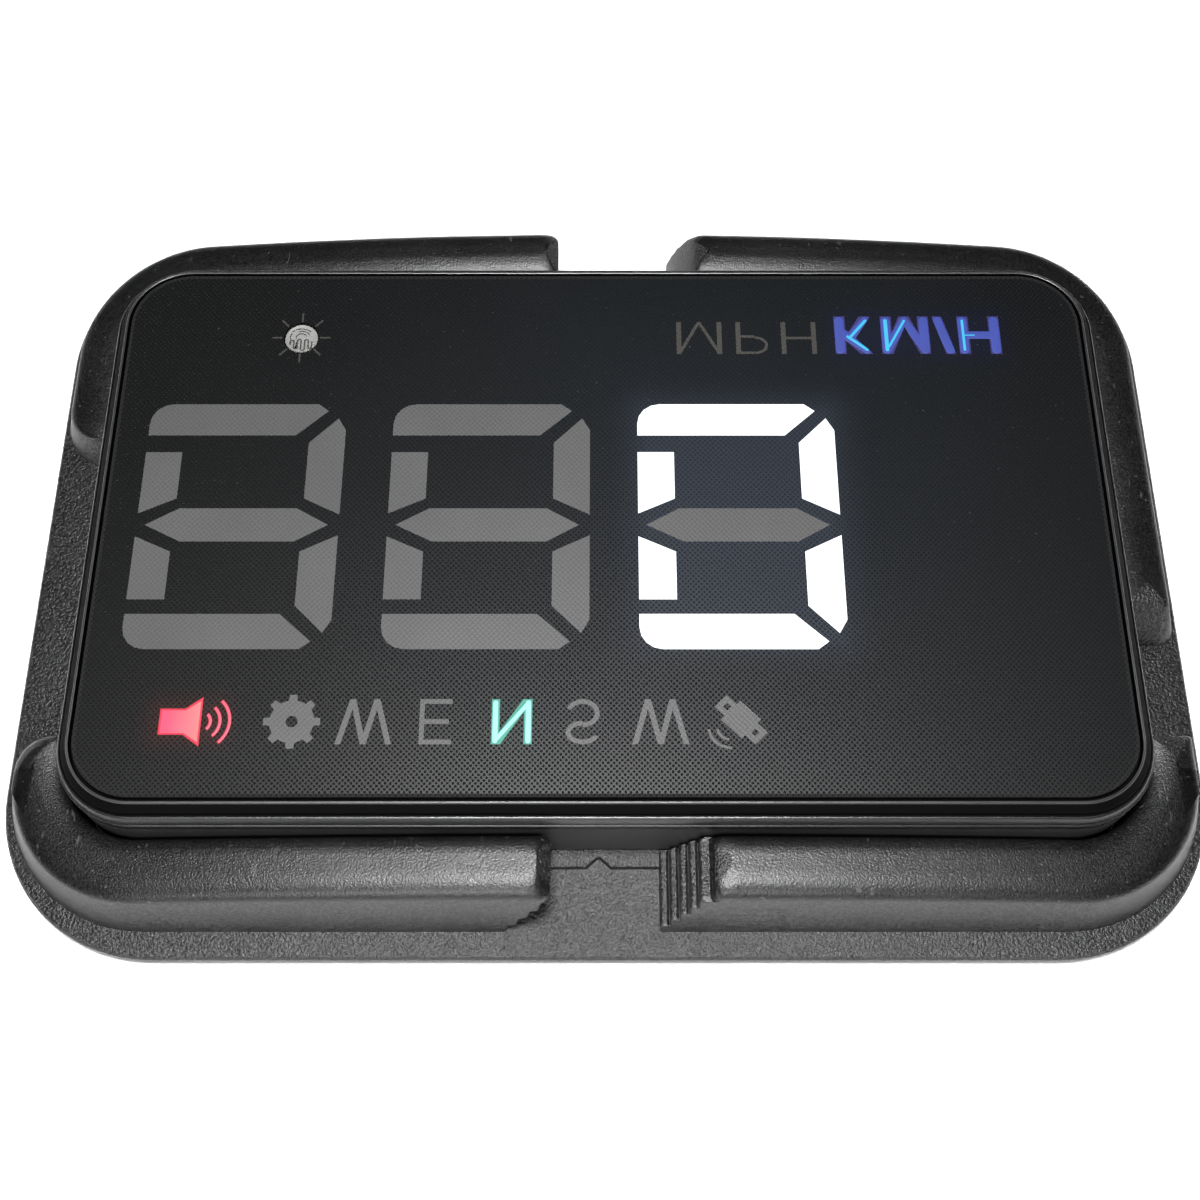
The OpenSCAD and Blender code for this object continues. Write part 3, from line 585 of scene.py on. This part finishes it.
# Section of the rim: (distance out from the lens's edge, height from the top)
RIM = [(-1.6, -3.2), (-1.6, -1.36), (0.5, -1.36), (0.51, -0.14), (0.54, -0.06), (0.6, -0.02), (0.7, 0),
       (0.8, -0.03), (0.88, -0.1), (0.95, -0.25), (1.08, -0.40), (1.78, -1.08), (1.9, -1.2), (1.94, -1.28),
       (1.96, -1.4), (1.97, -2.0), (2.22, -2.0), (2.25, -1.91), (2.3, -1.87), (2.42, -1.88), (2.5, -1.92),
       (2.62, -2.08), (2.9, -2.8), (2.99, -3.2), (3.01, -3.44), (3.04, -3.5), (3.12, -3.54), (3.17, -3.6),
       (3.2, -3.75), (3.2, -4.86), (3.16, -4.9), (1.2, -4.9), (0.0, -3.2)]
# which of its rings are the outer band and which the edge round the lens, coloured lighter than the rest as
# a painted highlight line
BAND = range(RIM.index((2.3, -1.87)), RIM.index((3.2, -4.86)))
EDGE = range(RIM.index((0.54, -0.06)), RIM.index((0.95, -0.25)))


def tube(x, y, r_out, r_in, z0, z1, steps=24):
    """A closed tube on end."""
    rings = []
    for r, z in ((r_out, z0), (r_out, z1 - 0.2), (r_out - 0.2, z1), (r_in, z1), (r_in, z0)):
        rings.append(arc(x, y, r, [360 * k / steps for k in range(steps)], z))
    return loft(rings, closed=True)


parts = ([], [], [])
rings = [rounded(LENS_W + 2 * u, LENS_D + 2 * u, LENS_R + u, TOP_Z + z, 20) for u, z in RIM]
v, f = loft(rings, closed=True)
ring_kinds = [1 if k in BAND else 2 if k in EDGE else 0 for k in range(len(rings))]
add_part(parts, v, f, [ring_kinds[k // len(rings[0])] for k in range(len(f))])
for px, py in POSTS:
    add_part(parts, *tube(px, py, 3.6, 1.12, RIM_Z, TOP_Z - LENS_T - 0.2), 0)
make("bezel_rim", parts[0], parts[1], [bezel_black, bezel_band, bezel_edge_painted_highlight], "display",
     ("top_bezel",), parts[2], sharp=32)

for name in ("lower_case", "usb_socket", "power_slider", "menu_lever"):
    soften = nodes[name].modifiers.new("rounded_edges", "BEVEL")
    soften.width, soften.segments, soften.limit_method = 0.12 * MM, 2, "ANGLE"
    soften.angle_limit = math.radians(40)


# ---------- lit marks ----------

STROKES = {
    "K": [(0, 0, 0, 1), (0, 0.36, 1, 1), (0.36, 0.6, 1, 0)],
    "M": [(0, 0, 0, 1), (1, 0, 1, 1), (0, 1, 0.5, 0), (0.5, 0, 1, 1)],
    "/": [(0, 0, 1, 1)],
    "H": [(0, 0, 0, 1), (1, 0, 1, 1), (0, 0.5, 1, 0.5)],
    "N": [(0, 0, 0, 1), (1, 0, 1, 1), (0, 1, 1, 0)],
}


def sunk_copy(node, depth):
    """The node's own solid with its top lowered, as the bed of a mark that stands in for it."""
    mesh = nodes[node].data
    verts = [(v.co.x / MM, v.co.y / MM, min(v.co.z / MM, TOP_Z - depth)) for v in mesh.vertices]
    return verts, [tuple(p.vertices) for p in mesh.polygons]


def capsule(a, b, r, z0, z1, steps=8):
    """A raised stroke with round ends and a softly domed top."""
    ax, ay = a
    turn = math.atan2(b[1] - ay, b[0] - ax)
    rings = []
    for k, z in ((1.0, z0), (1.0, lerp(z0, z1, 0.6)), (0.86, lerp(z0, z1, 0.9)), (0.6, z1)):
        ring = []
        for (cx, cy), start in ((b, -90), (a, 90)):
            for i in range(steps + 1):
                t = turn + math.radians(start + 180 * i / steps)
                ring.append((cx + k * r * math.cos(t), cy + k * r * math.sin(t), z))
        rings.append(ring)
    return loft(rings)


def stroke_ends(letter, index, x, y, w, h, inset):
    """Ends of a letter's stroke on the lens, the letter turned top to bottom."""
    x0, y0, x1, y1 = STROKES[letter][index]
    wide, high = w - 2 * inset, h - 2 * inset
    left, top = x + inset, y + h - inset
    return ((left + x0 * wide, top - y0 * high), (left + x1 * wide, top - y1 * high))


def lit_letters(name, node, letters, cores, r, r_core, bed, body, core):
    """Letters with round strokes on a bed. cores gives some strokes, by letter and stroke, a bright
    thread: its share of r_core, and the stretch of the stroke that it runs along."""
    parts = ([], [], [])
    add_part(parts, *sunk_copy(node, 0.05), 0)
    for n, (letter, x, y, w, h) in enumerate(letters):
        for k in range(len(STROKES[letter])):
            a, b = stroke_ends(letter, k, x, y, w, h, r)
            add_part(parts, *capsule(a, b, r, TOP_Z - 0.2, TOP_Z - 0.02 - 0.005 * k), 1)
            if (n, k) in cores:
                share, t0, t1 = cores[(n, k)]
                a, b = ((lerp(a[0], b[0], t), lerp(a[1], b[1], t)) for t in (t0, t1))
                add_part(parts, *capsule(a, b, share * r_core, TOP_Z - 0.1, TOP_Z - 0.003 * k), 2)
    make(name, parts[0], parts[1], [bed, body, core], "display", (node,), parts[2])


blue_bed = glowing("blue_bed", (0.012, 0.007, 0.15))
blue_core = glowing("blue_core", (0.03, 0.52, 0.88))
LIT_Y, LIT_H = 28.5, 7
kmh = [(letter, x, LIT_Y, w, LIT_H)
       for letter, x, w in (("K", 36, 5.8), ("M", 43.3, 7.6), ("/", 51.5, 3.3), ("H", 55.4, 6.6))]
kmh_cores = {(0, 2): (1, 0, 1), (0, 1): (1, 0.3, 1), (1, 0): (1.3, 0, 1), (1, 2): (0.8, 0.1, 1),
             (3, 0): (0.9, 0, 1), (3, 2): (0.4, 0, 0.35)}
lit_letters("kmh_letters", "unit_mark_kmh", kmh, kmh_cores, 0.82, 0.25,
            blue_bed, finishes["mark_blue"], blue_core)
green_core = glowing("green_core", (0.42, 0.93, 0.86))
lit_letters("north_letter", "compass_mark_north", [("N", -16, -35.5, 5.7, 6.7)],
            {(0, 0): (1, 0, 1), (0, 1): (1, 0, 1), (0, 2): (0.8, 0, 1)}, 0.54, 0.40, finishes["mark_cyan"],
            finishes["mark_cyan"], green_core)


def plate(points, inset, z0, z1):
    """A flat shape drawn in by inset at its top."""
    n = len(points)
    rings = []
    for grow, z in ((0.0, z0), (0.0, lerp(z0, z1, 0.7)), (inset, z1)):
        ring = []
        for k, (x, y) in enumerate(points):
            (x0, y0), (x1, y1) = points[k - 1], points[(k + 1) % n]
            e0, e1 = Vector((x - x0, y - y0)).normalized(), Vector((x1 - x, y1 - y)).normalized()
            inward = Vector((-e0.y - e1.y, e0.x + e1.x))
            inward = inward.normalized() / max(0.35, math.sqrt((1 + e0.dot(e1)) / 2))
            ring.append((x + grow * inward.x, y + grow * inward.y, z))
        rings.append(ring)
    return loft(rings)


def speaker():
    """The lit speaker mark: a red bed, a pink horn and three thin waves."""
    x, y = -62.6, -32.15
    parts = ([], [], [])
    add_part(parts, *sunk_copy("icon_sound", 0.05), 0)
    box, horn, half, wide = 3.5, 2.4, 1.95, 3.685
    e = 0.26
    body = [(x + e, y - half + e), (x + box + 0.1, y - half + e), (x + box + horn - e, y - wide + 0.62),
            (x + box + horn - e, y + wide - 0.62), (x + box + 0.1, y + half - e), (x + e, y + half - e)]
    add_part(parts, *plate(body, 0.05, TOP_Z - 0.2, TOP_Z), 1)
    cx = x + box + horn - 0.2
    sweep = range(-46, 47, 4)
    for k in range(3):
        r = 1.5 + 1.35 * k
        rings = []
        for thick, z in ((0.17, TOP_Z - 0.2), (0.17, TOP_Z - 0.03), (0.06, TOP_Z)):
            outer, inner = arc(cx, y, r + thick, sweep, z), arc(cx, y, r - thick, sweep, z)
            rings.append(outer + inner[::-1])
        add_part(parts, *loft(rings), 2)
    make("speaker_mark", parts[0], parts[1], [finishes["mark_red"], pink, pink_thin], "display",
         ("icon_sound",), parts[2])


PINK_RUN = (-61.5, -56.8)
pink = glowing("pink", (0.90, 0.075, 0.18), 1.0, (0.92, 0.24, 0.24), PINK_RUN)
pink_thin = glowing("pink_thin", (0.93, 0.12, 0.20))
speaker()


# ---------- light sensor ----------

def ribbon(path, wide, z0, z1):
    """A flat band along a path."""
    left, right = [], []
    for k, (x, y) in enumerate(path):
        x0, y0 = path[max(k - 1, 0)]
        x1, y1 = path[min(k + 1, len(path) - 1)]
        d = Vector((x1 - x0, y1 - y0)).normalized() * wide / 2
        left.append((x - d.y, y + d.x))
        right.append((x + d.y, y - d.x))
    ring = left + right[::-1]
    return loft([[(x, y, z) for x, y in ring] for z in (z0, z1)])


def sensor_top():
    """Ceramic face of the photoresistor: a raised rim, and a dark track winding between two electrodes."""
    cx, cy = SENSOR
    base = TOP_Z - 0.3
    parts = ([], [], [])
    rings = []
    for r, z in ((2.5, base - 0.1), (2.5, base + 0.10), (2.44, base + 0.16), (2.3, base + 0.17),
                 (2.2, base + 0.12), (1.2, base + 0.13), (0.3, base + 0.13)):
        rings.append(arc(cx, cy, r, range(0, 360, 9), z))
    add_part(parts, *loft(rings), 0)
    z0, z1 = base + 0.08, base + 0.17
    track, pitch, runs = [], 0.56, 7
    for k in range(runs):
        x = (k - (runs - 1) / 2) * pitch
        deep = math.sqrt(max(0.0, 2.1 ** 2 - x * x))
        low, high = -deep, -0.35 - 0.12 * abs(x)
        ys = (low, high) if k % 2 == 0 else (high, low)
        side = pitch / 2
        track += [(cx + x, cy + lerp(ys[0], ys[1], t)) for t in (0.08, 0.5, 0.92)]
        if k < runs - 1:
            bulge = 0.16 if ys[1] == high else -0.16
            for a in (math.radians(40), math.radians(90), math.radians(140)):
                track.append((cx + x + side * (1 - math.cos(a)), cy + ys[1] + bulge * math.sin(a)))
    add_part(parts, *ribbon(track, 0.24, z0, z1), 1)
    for r, a0, a1 in ((1.9, 40, 140), (1.35, 20, 110), (0.8, 10, 200), (1.75, 150, 200)):
        turns = [math.radians(lerp(a0, a1, t / 8)) for t in range(9)]
        curve = [(cx + r * math.cos(a), cy + 0.2 + 0.8 * r * math.sin(a)) for a in turns]
        add_part(parts, *ribbon(curve, 0.15, z0, z1), 1)
    track_dark = plastic("track_dark", (0.03, 0.028, 0.026), 0.5, grain=0.4, size=0.2)
    make("sensor_top", parts[0], parts[1], [finishes["sensor_face"], track_dark], "display",
         (), parts[2])


sensor_top()


# ---------- stage, lights and camera ----------

def floor_material():
    """Plain white floor."""
    m = Nodes("floor_white")
    cloud = m.noise(60, 2, 0.5)
    m.set(Base_Color=m.mix(m.span(cloud, 0.3, 0.7), (0.90, 0.90, 0.90), (0.93, 0.93, 0.93)))
    m.set(Roughness=0.9, Specular_IOR_Level=0.1)
    return m.material


half = 2.0
floor_corners = [(-half, -half, 0), (half, -half, 0), (half, half, 0), (-half, half, 0)]
floor_mesh = bpy.data.meshes.new("floor")
floor_mesh.from_pydata(floor_corners, [], [(0, 1, 2, 3)])
floor_mesh.materials.append(floor_material())
floor = bpy.data.objects.new("floor", floor_mesh)
bpy.context.scene.collection.objects.link(floor)
floor.location.z = -0.0002

world = bpy.data.worlds.new("studio")
bpy.context.scene.world = world
world.use_nodes = True
world.node_tree.nodes["Background"].inputs["Color"].default_value = (0.75, 0.87, 1.0, 1)
world.node_tree.nodes["Background"].inputs["Strength"].default_value = 0.02


def area(name, place, aim, size, power, colour=(1, 1, 1)):
    """A square soft light, in metres and watts."""
    light = bpy.data.lights.new(name, "AREA")
    light.energy, light.color = power, colour
    light.size = size
    obj = bpy.data.objects.new(name, light)
    bpy.context.scene.collection.objects.link(obj)
    obj.location = place
    obj.rotation_euler = (Vector(aim) - Vector(place)).to_track_quat("-Z", "Y").to_euler()


area("key", (-0.005, -0.045, 0.36), (0, 0, 0), 0.075, 2.5)
area("front", (-0.05, -0.50, 0.36), (0, -0.05, 0), 0.25, 3.0)
area("top", (0.0, 0.25, 1.1), (0, 0, 0), 0.9, 0.22, (0.75, 0.87, 1.0))

camera = bpy.data.objects.new("camera", bpy.data.cameras.new("camera"))
bpy.context.scene.collection.objects.link(camera)
camera.location = (-0.00078, -0.10547, 0.22606)
camera.rotation_euler = (math.radians(24), 0, 0)
camera.data.lens, camera.data.sensor_width = 46.78, 36
camera.data.clip_start, camera.data.clip_end = 0.01, 20
bpy.context.scene.camera = camera
bpy.context.scene.view_settings.view_transform = "Standard"
